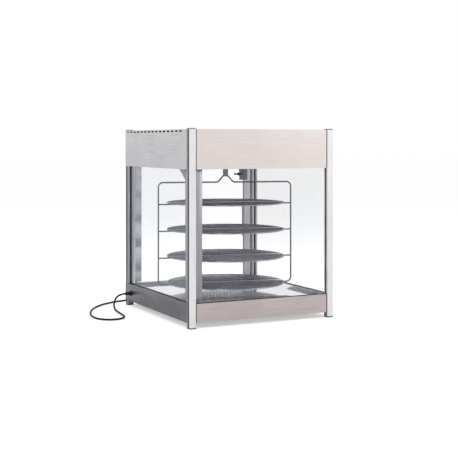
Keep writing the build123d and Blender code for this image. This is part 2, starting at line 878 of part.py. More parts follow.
# Rear door: glass between two grooved stiles, turning on pins at its left edge
door_y = back_y - door_setback - door_thickness / 2
door_left_x = -post_inner_x + door_gap
door_right_x = post_inner_x - door_gap
door_low = base_top + door_clearance
door_high = header_bottom - door_clearance
hinge_x = door_left_x + hinge_inset
handle_level = (door_low + door_high) / 2
bracket_x = post_inner_x - bracket_inset


def make_stile(edge_x, inward):
    """A door stile from its outer edge, its glass groove facing inward (+1 or -1 along X)."""
    centre_x = edge_x + inward * stile_width / 2
    with BuildPart() as stile:
        with BuildSketch(Plane((centre_x, door_y, door_low))):
            RectangleRounded(stile_width, door_thickness, stile_corner)
            with Locations((inward * (stile_width - door_glass_seat) / 2, 0)):
                Rectangle(door_glass_seat, glass_thickness + 2 * fit_gap, mode=Mode.SUBTRACT)
        extrude(amount=door_high - door_low)
    return stile.part


with BuildPart() as door_left_stile:
    add(make_stile(door_left_x, 1))
    with Locations((hinge_x, door_y, door_low), (hinge_x, door_y, door_high)):
        Cylinder(hinge_pin / 2 + running_clearance, 2 * hinge_pin_reach, mode=Mode.SUBTRACT)
keep(door_left_stile.part, "door_left_stile")
keep(make_stile(door_right_x, -1), "door_right_stile")

with BuildPart() as door_glass:
    with BuildSketch(Plane.XY.offset(door_low)):
        with Locations((0, door_y)):
            Rectangle(
                2 * (door_right_x - stile_width + door_glass_seat) - 2 * fit_gap, glass_thickness
            )
    extrude(amount=door_high - door_low)
keep(door_glass.part, "door_glass")

with BuildPart() as hinge_pins:
    for seat_level, upward in ((base_top, 1), (header_bottom, -1)):
        with BuildSketch(Plane.XY.offset(seat_level)):
            with Locations((hinge_x, door_y)):
                Circle(hinge_collar / 2)
        extrude(amount=upward * (door_clearance - fit_gap))
        with BuildSketch(Plane.XY.offset(seat_level)):
            with Locations((hinge_x, door_y)):
                Circle(hinge_pin / 2)
        extrude(amount=upward * (door_clearance + hinge_pin_reach - rod_end_gap))
keep(hinge_pins.part, "hinge_pins")

handle_x = door_right_x - handle_inset
handle_y = front_y + case_depth + handle_reach - handle_bar / 2
with BuildPart() as door_handle:
    with BuildSketch(Plane.XY.offset(handle_level - handle_length / 2)):
        with Locations((handle_x, handle_y)):
            Circle(handle_bar / 2)
    extrude(amount=handle_length)
    chamfer(door_handle.edges().filter_by(GeomType.CIRCLE), length=handle_bar / 5)
    with BuildSketch(Plane.XZ.offset(-(door_y + door_thickness / 2))):
        with Locations((handle_x, handle_level)):
            with GridLocations(1, handle_length - 3 * handle_bar, 1, 2):
                Circle(handle_standoff / 2)
    extrude(amount=-(handle_y - door_y - door_thickness / 2))
keep(door_handle.part, "door_handle")

# Catch bracket under the ceiling, with the door's magnet and the thermostat's probe
strike_y = door_y - door_thickness / 2
bracket_back_y = strike_y - strike_thickness - magnet_gap - magnet_thickness
probe_y = bracket_back_y - bracket_sheet - probe_diameter / 2
clip_outer = probe_diameter / 2 + clip_wall
with BuildPart() as catch_bracket:
    with BuildSketch(Plane.YZ.offset(bracket_x - bracket_width / 2)):
        with BuildLine():
            Polyline(
                (bracket_back_y, bracket_low),
                (bracket_back_y, ceiling_level),
                (bracket_back_y - bracket_flange, ceiling_level),
                (bracket_back_y - bracket_flange, ceiling_level - bracket_sheet),
                (bracket_back_y - bracket_sheet, ceiling_level - bracket_sheet),
                (bracket_back_y - bracket_sheet, bracket_low),
                close=True,
            )
        make_face()
    extrude(amount=bracket_width)
    with BuildSketch(Plane.YZ.offset(bracket_x - clip_width)):
        with Locations((probe_y, probe_level)):
            Circle(clip_outer)
            Rectangle(clip_outer, 2 * clip_outer, align=(Align.MIN, Align.CENTER))
            Circle(probe_diameter / 2, mode=Mode.SUBTRACT)
        with Locations((bracket_back_y - bracket_sheet / 2, probe_level)):
            Rectangle(probe_diameter, 3 * clip_outer, align=(Align.MIN, Align.CENTER), mode=Mode.SUBTRACT)
    extrude(amount=clip_width)
keep(catch_bracket.part, "catch_bracket")

with BuildPart() as door_magnet:
    with BuildSketch(Plane.XZ.offset(-bracket_back_y)):
        with Locations((bracket_x, magnet_level)):
            RectangleRounded(magnet_width, magnet_height, magnet_height / 5)
    extrude(amount=-magnet_thickness)
keep(door_magnet.part, "door_magnet")

strike_left_x = bracket_x - magnet_width / 2 + 1
strike_right_x = door_right_x - stile_width + strike_overlap
with BuildPart() as strike_plate:
    with BuildSketch(Plane.XZ.offset(-strike_y)):
        with Locations(((strike_left_x + strike_right_x) / 2, magnet_level)):
            RectangleRounded(strike_right_x - strike_left_x, magnet_height, magnet_height / 5)
    extrude(amount=strike_thickness)
keep(strike_plate.part, "strike_plate")

probe_tip_x = bracket_x - bracket_width / 2 - probe_reach
with BuildPart() as thermostat_probe:
    with BuildSketch(Plane.YZ.offset(probe_tip_x)):
        with Locations((probe_y, probe_level)):
            Circle(probe_diameter / 2)
    extrude(amount=probe_length)
    fillet(thermostat_probe.faces().sort_by(Axis.X)[0].edges(), radius=probe_diameter / 4)
keep(thermostat_probe.part, "thermostat_probe")

# Thermostat behind the rear fascia, its knob outside
fascia_inner_y = rear_panel_y - sheet
with BuildPart() as thermostat_body:
    with BuildSketch(Plane.XZ.offset(-fascia_inner_y)):
        with Locations((knob_x, control_level)):
            RectangleRounded(thermostat_width, thermostat_height, thermostat_height / 8)
    extrude(amount=thermostat_depth)
    with Locations((knob_x, fascia_inner_y, control_level)):
        with Locations(Rotation(90, 0, 0)):
            Cylinder(spindle_diameter / 2 + running_clearance, thermostat_depth, mode=Mode.SUBTRACT)
keep(thermostat_body.part, "thermostat_body")

knob_inner_y = rear_panel_y + knob_gap
with BuildPart() as thermostat_knob:
    with BuildSketch(Plane.XZ.offset(-knob_inner_y)):
        with Locations((knob_x, control_level)):
            Circle(knob_diameter / 2)
            with PolarLocations(knob_diameter / 2 + knob_flute_radius / 3, knob_flutes):
                Circle(knob_flute_radius, mode=Mode.SUBTRACT)
    extrude(amount=-knob_height)
    chamfer(thermostat_knob.faces().sort_by(Axis.Y)[-1].edges(), length=knob_chamfer)
    with BuildSketch(Plane.XZ.offset(-(knob_inner_y + knob_height))):
        with Locations((knob_x, control_level + knob_diameter / 4)):
            Rectangle(knob_mark_width, knob_mark_length)
    extrude(amount=knob_chamfer, mode=Mode.SUBTRACT)
    with BuildSketch(Plane.XZ.offset(-knob_inner_y)):
        with Locations((knob_x, control_level)):
            Circle(spindle_diameter / 2)
    extrude(amount=knob_gap + sheet + thermostat_depth / 3)
keep(thermostat_knob.part, "thermostat_knob")

# Rocker switches through the rear fascia
rocker_face_y = rear_panel_y + switch_lip
rocker_pivot_y = rocker_face_y - switch_depth / 3
rocker_half = switch_height / 2 - switch_wall - rocker_gap
rocker_rise = rocker_half * tan(radians(rocker_travel / 2))


with BuildPart() as switch_housings:
    with BuildSketch(Plane.XZ.offset(-rear_panel_y)):
        with Locations(*[(x, control_level) for x in switch_xs.values()]):
            RectangleRounded(switch_width + 2 * switch_wall, switch_height + 2 * switch_wall, switch_wall)
    extrude(amount=-switch_lip)
    with BuildSketch(Plane.XZ.offset(-rear_panel_y)):
        with Locations(*[(x, control_level) for x in switch_xs.values()]):
            Rectangle(switch_width, switch_height)
    extrude(amount=switch_depth)
    with BuildSketch(Plane.XZ.offset(-rocker_face_y)):
        with Locations(*[(x, control_level) for x in switch_xs.values()]):
            Rectangle(switch_width - 2 * switch_wall, switch_height - 2 * switch_wall)
    extrude(amount=switch_depth, mode=Mode.SUBTRACT)
    for x in switch_xs.values():
        with BuildSketch(Plane.YZ.offset(x)):
            with Locations((rocker_pivot_y, control_level)):
                Circle(rocker_pin / 2 + running_clearance)
        extrude(amount=(switch_width - switch_wall / 2) / 2, both=True, mode=Mode.SUBTRACT)
keep(switch_housings.part, "switch_housings")


def make_rocker(x):
    """A rocker: two faces that meet at its middle over a rounded back, and its pin."""
    with BuildPart() as rocker:
        with BuildSketch(Plane.YZ.offset(x - switch_width / 2 + switch_wall + rocker_gap)):
            with BuildLine():
                Polyline(
                    (rocker_pivot_y, control_level - rocker_half),
                    (rocker_face_y + rocker_rise, control_level - rocker_half),
                    (rocker_face_y, control_level),
                    (rocker_face_y + rocker_rise, control_level + rocker_half),
                    (rocker_pivot_y, control_level + rocker_half),
                )
                ThreePointArc(
                    (rocker_pivot_y, control_level + rocker_half),
                    (rocker_pivot_y - switch_depth / 4, control_level),
                    (rocker_pivot_y, control_level - rocker_half),
                )
            make_face()
        extrude(amount=switch_width - 2 * (switch_wall + rocker_gap))
        with Locations((x, rocker_pivot_y, control_level)):
            with Locations(Rotation(0, 90, 0)):
                Cylinder(rocker_pin / 2, switch_width - switch_wall)
    return rocker.part


for switch_name, x in switch_xs.items():
    keep(make_rocker(x), f"{switch_name}_rocker")

# Terminal block on the bottom plate, by the cord's entry
block_x = -side_x + block_inset
block_y = gland_y - block_length
with BuildPart() as terminal_block:
    with BuildSketch(Plane((block_x, block_y, riser_low))):
        Rectangle(block_width, block_length)
    extrude(amount=block_height)
    with BuildSketch(Plane((block_x, block_y, riser_low + block_height))):
        with GridLocations(block_width / 2, block_well_pitch, 2, block_well_count):
            Rectangle(block_well, block_well)
    extrude(amount=-block_well_depth, mode=Mode.SUBTRACT)
keep(terminal_block.part, "terminal_block")

# Screws of the rear fascia and the rear base panel
with BuildPart() as panel_screws:
    with BuildSketch(Plane.XZ.offset(-rear_panel_y)):
        with Locations(*base_screws, *header_screws):
            Circle(screw_head / 2)
    extrude(amount=-screw_head_height)
    chamfer(panel_screws.faces().group_by(Axis.Y)[-1].edges(), length=screw_head_height / 2)
    with BuildSketch(Plane.XZ.offset(-rear_panel_y)):
        with Locations(*base_screws, *header_screws):
            Circle(screw_shank / 2)
    extrude(amount=screw_length)
keep(panel_screws.part, "panel_screws")

# Cord: out of its gland, round on the floor and behind the case, into a tied coil
cord_points = [
    (-321, 238, 53),
    (-350, 238, 53),
    (-379, 227, 41),
    (-398, 201, 20),
    (-406, 164, 5),
    (-405, 118, 4),
    (-401, 70, 4),
    (-404, 30, 4),
    (-416, -10, 4),
    (-444, -36, 4),
    (-482, -36, 4),
    (-510, -8, 4),
    (-519, 32, 4),
    (-514, 84, 4),
    (-500, 138, 4),
    (-479, 190, 4),
    (-451, 241, 4),
    (-416, 288, 4),
    (-374, 328, 4),
    (-324, 359, 4),
    (-267, 379, 4),
    (-208, 388, 4),
    (-150, 389, 4),
    (-102, 386, 4),
    (-67.5, 386, 4),
]


def bend_radius(before, corner, after):
    """The largest easy arc at a corner of the cord's route."""
    turn = (corner - before).get_angle(after - corner)
    return 0.45 * min((corner - before).length, (after - corner).length) / tan(radians(turn / 2))


route = [Vector(*point) for point in cord_points]
cord_radii = [bend_radius(*route[i - 1 : i + 2]) for i in range(1, len(route) - 1)]
print("cord bend radii:", [round(radius) for radius in cord_radii])
with BuildPart() as power_cord:
    with BuildLine() as cord_path:
        FilletPolyline(*route, radius=cord_radii)
    with BuildSketch(Plane(cord_path.line @ 0, z_dir=cord_path.line % 0)):
        Circle(cord_diameter / 2)
    sweep()
cord_run = cord_path.wire().length
expected_volume = pi * cord_diameter**2 / 4 * cord_run
print("cord run:", round(cord_run), "volume ratio:", round(power_cord.part.volume / expected_volume, 4))
keep(power_cord.part, "power_cord")

gland_plane = Plane(
    (-side_x, gland_y, gland_level), x_dir=(0, 1, 0), z_dir=(-1, 0, 0)
)
with BuildPart() as cord_gland:
    with BuildSketch(gland_plane):
        Circle(gland_flange / 2)
    extrude(amount=gland_flange_thickness)
    fillet(cord_gland.faces().sort_by(Axis.X)[0].edges(), radius=gland_flange_thickness / 4)
    with BuildSketch(gland_plane.offset(gland_flange_thickness - sleeve_wall)):
        Circle(gland_flange / 2 - gland_step)
    with BuildSketch(gland_plane.offset(gland_length)):
        Circle(cord_diameter / 2 + sleeve_wall)
    loft()
    with BuildSketch(gland_plane):
        Circle(gland_tip / 2)
    extrude(amount=-(sheet + gland_flange_thickness))
keep(cord_gland.part, "cord_gland")

# Coil: each layer spirals in or out by half turns, and one rising half turn joins the layers
coil_start = route[-1]
coil_plane = Plane(
    coil_start + Vector(cord_diameter, coil_radius, 0), x_dir=(0, -1, 0), z_dir=(0, 0, 1)
)
rise = coil_layer_spacing
rising_mid = sqrt((coil_radius - coil_half_turns * coil_turn_spacing / 2) ** 2 + (rise / 2) ** 2)
radii_in = [coil_radius - step * coil_turn_spacing / 2 for step in range(coil_half_turns + 1)]
with BuildPart() as cord_coil:
    with BuildLine(coil_plane) as coil_path:
        Line((coil_radius, -cord_diameter, 0), (coil_radius, 0, 0))
        side = 1
        for step in range(coil_half_turns):
            start = (side * radii_in[step], 0, 0)
            end = (-side * radii_in[step + 1], 0, 0)
            middle = ((start[0] + end[0]) / 2, side * (radii_in[step] + radii_in[step + 1]) / 2, 0)
            ThreePointArc(start, middle, end)
            side = -side
        inner = radii_in[-1]
        top = (0, side * rising_mid, rise / 2)
        share = cos(radians(45))
        low_middle = (side * inner * share, side * rising_mid * share, rise / 2 * (1 - share))
        high_middle = (-side * inner * share, side * rising_mid * share, rise / 2 * (1 + share))
        ThreePointArc((side * inner, 0, 0), low_middle, top)
        ThreePointArc(top, high_middle, (-side * inner, 0, rise))
        side = -side
        for step in range(coil_half_turns, 0, -1):
            start = (side * radii_in[step], 0, rise)
            end = (-side * radii_in[step - 1], 0, rise)
            middle = ((start[0] + end[0]) / 2, side * (radii_in[step] + radii_in[step - 1]) / 2, rise)
            ThreePointArc(start, middle, end)
            side = -side
        Line((side * coil_radius, 0, rise), (side * coil_radius, -cord_diameter, rise))
    with BuildSketch(Plane(coil_start, z_dir=(1, 0, 0))):
        Circle(cord_diameter / 2)
    sweep()
coil_wire = coil_path.wire()
coil_length = coil_wire.length
samples = [coil_wire.position_at(step / 400) for step in range(401)]
sample_step = coil_length / 400
least_gap = min(
    (samples[i] - samples[j]).length - cord_diameter
    for i in range(401)
    for j in range(i + 1, 401)
    if (j - i) * sample_step > 3 * cord_diameter
)
print("coil length:", round(coil_length), "least gap in the coil:", round(least_gap, 2))
print("cord length:", round(cord_run + coil_length + plug_relief))
keep(cord_coil.part, "cord_coil")

# Plug at the coil's end, lying on the floor with its blades
plug_start = coil_start + Vector(0, 2 * coil_radius, coil_layer_spacing)
plug_half_height = plug_start.Z - fit_gap
plug_plane = Plane(plug_start, x_dir=(0, 1, 0), z_dir=(-1, 0, 0))
with BuildPart() as plug_blades:
    with BuildSketch(plug_plane.offset(plug_relief + plug_length - blade_root_length)):
        with GridLocations(blade_spacing, 1, 2, 1):
            Rectangle(blade_thickness, blade_width)
        with Locations((0, -ground_offset)):
            Circle(ground_pin / 2)
    extrude(amount=blade_length + blade_root_length)
keep(plug_blades.part, "plug_blades")

with BuildPart() as plug_body:
    with BuildSketch(plug_plane):
        Circle(cord_diameter / 2 + sleeve_wall)
    with BuildSketch(plug_plane.offset(plug_relief)):
        RectangleRounded(plug_neck_width, plug_half_height * 1.5, plug_half_height / 3)
    loft()
    with BuildSketch(plug_plane.offset(plug_relief)):
        RectangleRounded(plug_width, 2 * plug_half_height, plug_half_height * 0.6)
    extrude(amount=plug_length)
    add(plug_blades.part, mode=Mode.SUBTRACT)
keep(plug_body.part, "plug_body")
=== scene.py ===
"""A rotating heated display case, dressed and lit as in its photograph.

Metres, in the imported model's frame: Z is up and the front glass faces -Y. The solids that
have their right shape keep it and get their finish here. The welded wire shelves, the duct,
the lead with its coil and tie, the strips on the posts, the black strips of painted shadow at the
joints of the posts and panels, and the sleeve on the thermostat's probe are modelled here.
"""

from __future__ import annotations

import logging
import math
from dataclasses import dataclass, field
from enum import Enum

import bpy
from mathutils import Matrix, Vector

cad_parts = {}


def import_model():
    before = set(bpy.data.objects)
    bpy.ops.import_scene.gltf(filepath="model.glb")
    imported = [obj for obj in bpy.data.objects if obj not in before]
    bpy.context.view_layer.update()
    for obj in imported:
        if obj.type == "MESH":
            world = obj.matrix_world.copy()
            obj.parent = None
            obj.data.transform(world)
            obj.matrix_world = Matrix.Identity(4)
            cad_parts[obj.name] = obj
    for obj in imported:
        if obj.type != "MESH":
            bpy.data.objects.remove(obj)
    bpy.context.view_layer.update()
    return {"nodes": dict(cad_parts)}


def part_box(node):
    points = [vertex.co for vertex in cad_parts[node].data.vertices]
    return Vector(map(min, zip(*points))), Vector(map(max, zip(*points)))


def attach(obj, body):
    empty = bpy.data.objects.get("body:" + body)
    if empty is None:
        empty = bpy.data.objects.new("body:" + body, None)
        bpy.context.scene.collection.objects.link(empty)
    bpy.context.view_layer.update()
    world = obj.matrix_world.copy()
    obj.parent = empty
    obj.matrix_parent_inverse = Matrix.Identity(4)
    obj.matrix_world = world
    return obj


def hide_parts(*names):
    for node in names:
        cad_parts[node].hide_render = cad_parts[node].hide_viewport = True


LOG = logging.getLogger("display_case")
MM = 0.001
SMOOTH_ANGLE = math.radians(40)


def linear(hex_colour: str) -> tuple[float, float, float, float]:
    """Turns an sRGB hex colour into a linear colour with full alpha.

    Args:
        hex_colour: Six hex digits after a hash sign.

    Returns:
        Red, green, blue and alpha.
    """
    digits = hex_colour.lstrip("#")
    channels = [int(digits[place : place + 2], 16) / 255 for place in (0, 2, 4)]
    curve = [c / 12.92 if c <= 0.04045 else ((c + 0.055) / 1.055) ** 2.4 for c in channels]
    return (curve[0], curve[1], curve[2], 1.0)


def add_node(
    tree: bpy.types.NodeTree,
    kind: str,
    settings: dict[str | int, object] | None = None,
    links: dict[str | int, bpy.types.NodeSocket] | None = None,
) -> bpy.types.Node:
    """Adds a shader node with its settings and incoming links.

    Args:
        tree: The node tree that takes the node.
        kind: The node's type name.
        settings: Values by input name, or by attribute name where no input has it.
        links: Output sockets by the name or number of the input that they feed.

    Returns:
        The new node.
    """
    node = tree.nodes.new(kind)
    for name, value in (settings or {}).items():
        if isinstance(name, str) and hasattr(node, name):
            setattr(node, name, value)
        else:
            node.inputs[name].default_value = value
    for name, socket in (links or {}).items():
        tree.links.new(socket, node.inputs[name])
    return node


def empty_material(name: str) -> tuple[bpy.types.Material, bpy.types.NodeTree]:
    """Makes a material without nodes.

    Args:
        name: Its name.

    Returns:
        The material and its node tree.
    """
    material = bpy.data.materials.new(name)
    material.use_nodes = True
    material.node_tree.nodes.clear()
    return material, material.node_tree


class Grain(Enum):
    """How a surface was worked, as stretch factors of its pattern along X, Y and Z."""

    EVEN = (1.0, 1.0, 1.0)
    ALONG_X = (0.02, 1.0, 1.0)
    ALONG_Y = (1.0, 0.02, 1.0)
    ALONG_Z = (1.0, 1.0, 0.02)


@dataclass(frozen=True)
class Finish:
    """A metal, plastic or rubber surface, with its grain in real sizes.

    Attributes:
        name: What the material is called.
        light: The colour on the grain's crests.
        dark: The colour in its troughs.
        metallic: 1 for bare metal, 0 otherwise.
        roughness: The mean roughness.
        spread: How far the roughness swings to each side.
        grain: The direction of the pattern.
        pitch_mm: The spacing of the pattern.
        depth_mm: The height of its relief.
        coat: The weight of a clear coat.
        shine: The specular level, 0.5 for common plastics.
        stroke_detail: How finely the pattern breaks up.
        stroke_roughness: How strong its finer steps are.
        cloud_scale: The number of broad patches to the metre.
        cloud_detail: How finely their edges break up.
        cloud_share: How much they add to the pattern.
        tone_range: The mixed values that give the trough's and the crest's colour.
        relief: The strength of the bump.
        least_roughness: What the roughness never falls below.
    """

    name: str
    light: str
    dark: str
    metallic: float
    roughness: float
    spread: float = 0.06
    grain: Grain = Grain.EVEN
    pitch_mm: float = 2.0
    depth_mm: float = 0.02
    coat: float = 0.0
    shine: float = 0.5
    stroke_detail: float = 3.0
    stroke_roughness: float = 0.55
    cloud_scale: float = 9.0
    cloud_detail: float = 2.0
    cloud_share: float = 0.35
    tone_range: tuple[float, float] = (0.45, 0.9)
    relief: float = 0.5
    least_roughness: float = 0.02

    def build(self) -> bpy.types.Material:
        """Makes the material's nodes.

        Returns:
            The material, or the one made before under this name.
        """
        known = bpy.data.materials.get(self.name)
        if known:
            return known
        material, tree = empty_material(self.name)
        stretch = tuple(factor / (self.pitch_mm * MM) for factor in self.grain.value)
        place = add_node(tree, "ShaderNodeTexCoord").outputs["Object"]
        spaced = add_node(
            tree, "ShaderNodeMapping", {"Scale": stretch}, {"Vector": place}
        ).outputs["Vector"]
        pattern = add_node(
            tree,
            "ShaderNodeTexNoise",
            {"Scale": 1.0, "Detail": self.stroke_detail, "Roughness": self.stroke_roughness},
            {"Vector": spaced},
        ).outputs["Fac"]
        cloud = add_node(
            tree,
            "ShaderNodeTexNoise",
            {"Scale": self.cloud_scale, "Detail": self.cloud_detail},
            {"Vector": place},
        ).outputs["Fac"]
        blend = add_node(
            tree,
            "ShaderNodeMath",
            {"operation": "MULTIPLY_ADD", 1: self.cloud_share},
            {0: cloud, 2: pattern},
        )
        tone = add_node(
            tree,
            "ShaderNodeMapRange",
            {"From Min": self.tone_range[0], "From Max": self.tone_range[1]},
            {"Value": blend.outputs["Value"]},
        ).outputs["Result"]
        colour = add_node(
            tree,
            "ShaderNodeMix",
            {"data_type": "RGBA", 6: linear(self.dark), 7: linear(self.light)},
            {"Factor": tone},
        )
        roughness = add_node(
            tree,
            "ShaderNodeMapRange",
            {
                "To Min": self.roughness + self.spread,
                "To Max": max(self.roughness - self.spread, self.least_roughness),
            },
            {"Value": tone},
        ).outputs["Result"]
        bump = add_node(
            tree,
            "ShaderNodeBump",
            {"Strength": self.relief, "Distance": self.depth_mm * MM},
            {"Height": pattern},
        ).outputs["Normal"]
        surface = add_node(
            tree,
            "ShaderNodeBsdfPrincipled",
            {
                "Metallic": self.metallic,
                "Coat Weight": self.coat,
                "Specular IOR Level": self.shine,
            },
            {"Base Color": colour.outputs[2], "Roughness": roughness, "Normal": bump},
        ).outputs["BSDF"]
        add_node(tree, "ShaderNodeOutputMaterial", {}, {"Surface": surface})
        return material


@dataclass(frozen=True)
class FloatGlass:
    """Clear float glass: nearly all light passes straight, and the surface keeps its gloss.

    Attributes:
        name: What the material is called.
        tint: The colour of what it holds back.
        body: The share of light that it holds back.
        swing: How far that share varies over the pane, as a part of it.
        film_scale: The number of faint wiping marks to the metre.
        film_detail: How finely the marks break up.
        film_range: The noise values between which the share varies.
        edge_blend: How early the gloss grows towards a flat view.
        edge_share: How much of that gloss covers what is behind.
        roughness: The polish of the surface.
        ior: The glass's refractive index.
    """

    name: str
    tint: str
    body: float
    swing: float = 0.25
    film_scale: float = 7.0
    film_detail: float = 3.0
    film_range: tuple[float, float] = (0.3, 0.75)
    edge_blend: float = 0.18
    edge_share: float = 0.12
    roughness: float = 0.04
    ior: float = 1.52

    def build(self) -> bpy.types.Material:
        """Makes the glass's nodes.

        Returns:
            The material, or the one made before under this name.
        """
        known = bpy.data.materials.get(self.name)
        if known:
            return known
        material, tree = empty_material(self.name)
        edge = add_node(
            tree, "ShaderNodeLayerWeight", {"Blend": self.edge_blend}
        ).outputs["Fresnel"]
        place = add_node(tree, "ShaderNodeTexCoord").outputs["Object"]
        film = add_node(
            tree,
            "ShaderNodeTexNoise",
            {"Scale": self.film_scale, "Detail": self.film_detail},
            {"Vector": place},
        ).outputs["Fac"]
        haze = add_node(
            tree,
            "ShaderNodeMapRange",
            {
                "From Min": self.film_range[0],
                "From Max": self.film_range[1],
                "To Min": self.body * (1 - self.swing),
                "To Max": self.body * (1 + self.swing),
            },
            {"Value": film},
        ).outputs["Result"]
        gloss = add_node(
            tree, "ShaderNodeMath", {"operation": "MULTIPLY", 1: self.edge_share}, {0: edge}
        ).outputs["Value"]
        cover = add_node(
            tree, "ShaderNodeMath", {"operation": "ADD", "use_clamp": True}, {0: haze, 1: gloss}
        )
        surface = add_node(
            tree,
            "ShaderNodeBsdfPrincipled",
            {"Base Color": linear(self.tint), "Roughness": self.roughness, "IOR": self.ior},
            {"Alpha": cover.outputs["Value"]},
        ).outputs["BSDF"]
        add_node(tree, "ShaderNodeOutputMaterial", {}, {"Surface": surface})
        return material


# Anodised extrusion: a pale satin skin with faint die lines along its length, drawn 3 mm apart
# so that they show. The rear posts and the door's right upright have painted shade: the same skin,
# darker.
ANODISED = Finish(
    "anodised_aluminium", "#f6f4f5", "#dfdde0", 0.85, 0.40, grain=Grain.ALONG_Z, pitch_mm=3
)
ANODISED_PAINTED_SHADE = Finish(
    "anodised_aluminium_painted_shade", "#cbcbcf", "#a5a5aa", 0.85, 0.36, grain=Grain.ALONG_Z, pitch_mm=3
)
# The door's left upright: the same skin with painted light in its colour, and glossy, so that it
# mirrors the shelves
ANODISED_PAINTED_LIGHT = Finish(
    "anodised_aluminium_painted_light",
    "#e2e3e7",
    "#cbccd1",
    0.9,
    0.16,
    spread=0.04,
    grain=Grain.ALONG_Z,
    pitch_mm=3,
)
# Stainless sheet, belt ground to a number 4 finish: soft strokes along the sheet, drawn coarser
# than the real grit. Each face has painted light and shade: a tint and brightness of its own for
# the light that falls on it and the room that it mirrors.
BRUSHED_FRONT = Finish(
    "brushed_stainless_front", "#ece3e0", "#dad1ce", 0.9, 0.38, grain=Grain.ALONG_X, pitch_mm=2.5
)
BRUSHED_SIDE = Finish(
    "brushed_stainless_side", "#dfdee1", "#c8c7cb", 0.9, 0.40, grain=Grain.ALONG_Y, pitch_mm=2.5
)
BRUSHED_BASE = Finish(
    "brushed_stainless_base", "#cfc4c3", "#b5abab", 0.9, 0.36, grain=Grain.ALONG_X, pitch_mm=2.5
)
# Painted shade: the darkest copy, on the base's side panels
BRUSHED_PAINTED_SHADE = Finish(
    "brushed_stainless_painted_shade", "#8d8a90", "#757278", 0.9, 0.36, grain=Grain.ALONG_Y, pitch_mm=2.5
)
BRUSHED_UPRIGHT = Finish(
    "brushed_stainless_upright", "#b0b0b5", "#97989d", 0.9, 0.34, grain=Grain.ALONG_Z, pitch_mm=2.5
)
# Stainless sheet, buffed to a mirror and wiped clean, as on the deck
POLISHED = Finish("polished_stainless", "#fafbfc", "#eff1f3", 0.9, 0.07, spread=0.02, pitch_mm=9)
# Mild steel, zinc plated: a pale bluish grey with soft patches, on the hidden sheets and screws
ZINC = Finish("zinc_plated_steel", "#c3c6c9", "#9fa3a8", 0.9, 0.4, pitch_mm=6)
# Nickel plated wire: a grey gloss, brighter on the mesh than on the frame. The tie over the rung
# is near white, a painted highlight for the rung's gleam through the mesh
NICKEL = Finish("nickel_plated_wire", "#8e9097", "#66686f", 0.95, 0.26, pitch_mm=4)
NICKEL_MESH = Finish("nickel_plated_mesh", "#b2b2ba", "#717179", 0.95, 0.24, pitch_mm=5)
NICKEL_PAINTED_HIGHLIGHT = Finish("nickel_tie_painted_highlight", "#f0f0f3", "#d6d6da", 0.9, 0.3, pitch_mm=5)
# Stoved enamel on the turned hub: an even blue grey under a thin gloss
HUB_ENAMEL = Finish("blue_grey_enamel", "#8d98a8", "#77828f", 0.25, 0.35, pitch_mm=5, coat=0.3)
# Powder coat with a fine orange peel: black on the motor, mid grey on the bracket
POWDER_BLACK = Finish(
    "black_powder_coat", "#34363a", "#232428", 0.0, 0.55, pitch_mm=1.2, depth_mm=0.05
)
POWDER_GREY = Finish(
    "grey_powder_coat", "#8b8b91", "#717177", 0.0, 0.5, pitch_mm=1.2, depth_mm=0.05
)
# Moulded ABS with a fine spark texture, and grey nylon on the posts' caps
MOULDED = Finish("moulded_abs", "#2e2e30", "#1d1d1f", 0.0, 0.5, pitch_mm=1.5, depth_mm=0.04)
CAP_PLASTIC = Finish("moulded_nylon_cap", "#8f8e8f", "#737273", 0.0, 0.5, pitch_mm=1.5)
# Extruded rubber in strips and channels: black and matt, with faint marks of the die
RUBBER = Finish("extruded_rubber", "#141316", "#09090a", 0.0, 0.66, pitch_mm=2.5, shine=0.2)
# Extruded PVC on the lead, and its moulded gland, plug and tie: black with a dull sheen
CORD_SHEATH = Finish("pvc_sheath", "#111012", "#080809", 0.0, 0.5, pitch_mm=3.0, shine=0.25)
# Drawn brass on the bush and the plug's blades: yellow, a little dulled
BRASS = Finish("plain_brass", "#c9a868", "#a98947", 1.0, 0.3, pitch_mm=3)
# Nickel alloy sheath of the heater: brown grey where the heat has darkened it
HEATER_SHEATH = Finish("heat_darkened_sheath", "#6c6864", "#45423f", 0.8, 0.5, pitch_mm=8)
# Pressed steatite with a clear glaze: cream and glossy
STEATITE = Finish("glazed_steatite", "#e8e4d8", "#d8d2c2", 0.0, 0.25, pitch_mm=5, coat=0.5)
# Copper, blackened by heat and fumes: nearly black and dull
COPPER = Finish("oxidised_copper", "#34343a", "#222226", 0.2, 0.5, pitch_mm=4)
# Moulded nylon with a polished face, as on rocker switches
SWITCH_GLOSS = Finish(
    "gloss_switch_plastic", "#28282a", "#1a1a1b", 0.0, 0.22, spread=0.03, pitch_mm=4
)
# Float glass: the side panes hold back more light than the front pane and the door
CLEAR_GLASS = FloatGlass("clear_float_glass", "#dfe6ea", 0.005)
SIDE_GLASS = FloatGlass("side_float_glass", "#bccbdb", 0.028)


